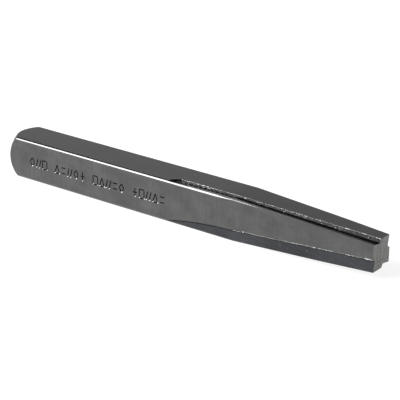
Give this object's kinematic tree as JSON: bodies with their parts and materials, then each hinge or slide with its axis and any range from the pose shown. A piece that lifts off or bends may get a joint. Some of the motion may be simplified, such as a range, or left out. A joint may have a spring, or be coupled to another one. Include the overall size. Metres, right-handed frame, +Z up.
{
  "type": "screw extractor",
  "caption": "Square-taper screw extractor: a square steel bar with a domed striking head and a tapered, fluted end that backs out broken screws.",
  "frame": {"origin": "on the flat of the shank that the tool lies on, under the middle of the overall length and width", "axes": "+X runs along the tool from the domed head to the fluted tip, +Z is up, square to the flat it lies on, and +Y is to the left when looking along +X"},
  "size_m": [0.082, 0.008, 0.0079],
  "materials": {
    "body_steel": "hardened tool steel, ground, with a thin dark oxide"
  },
  "bodies": {
    "root": {"extractor_body": "body_steel"}
  },
  "joints": []
}
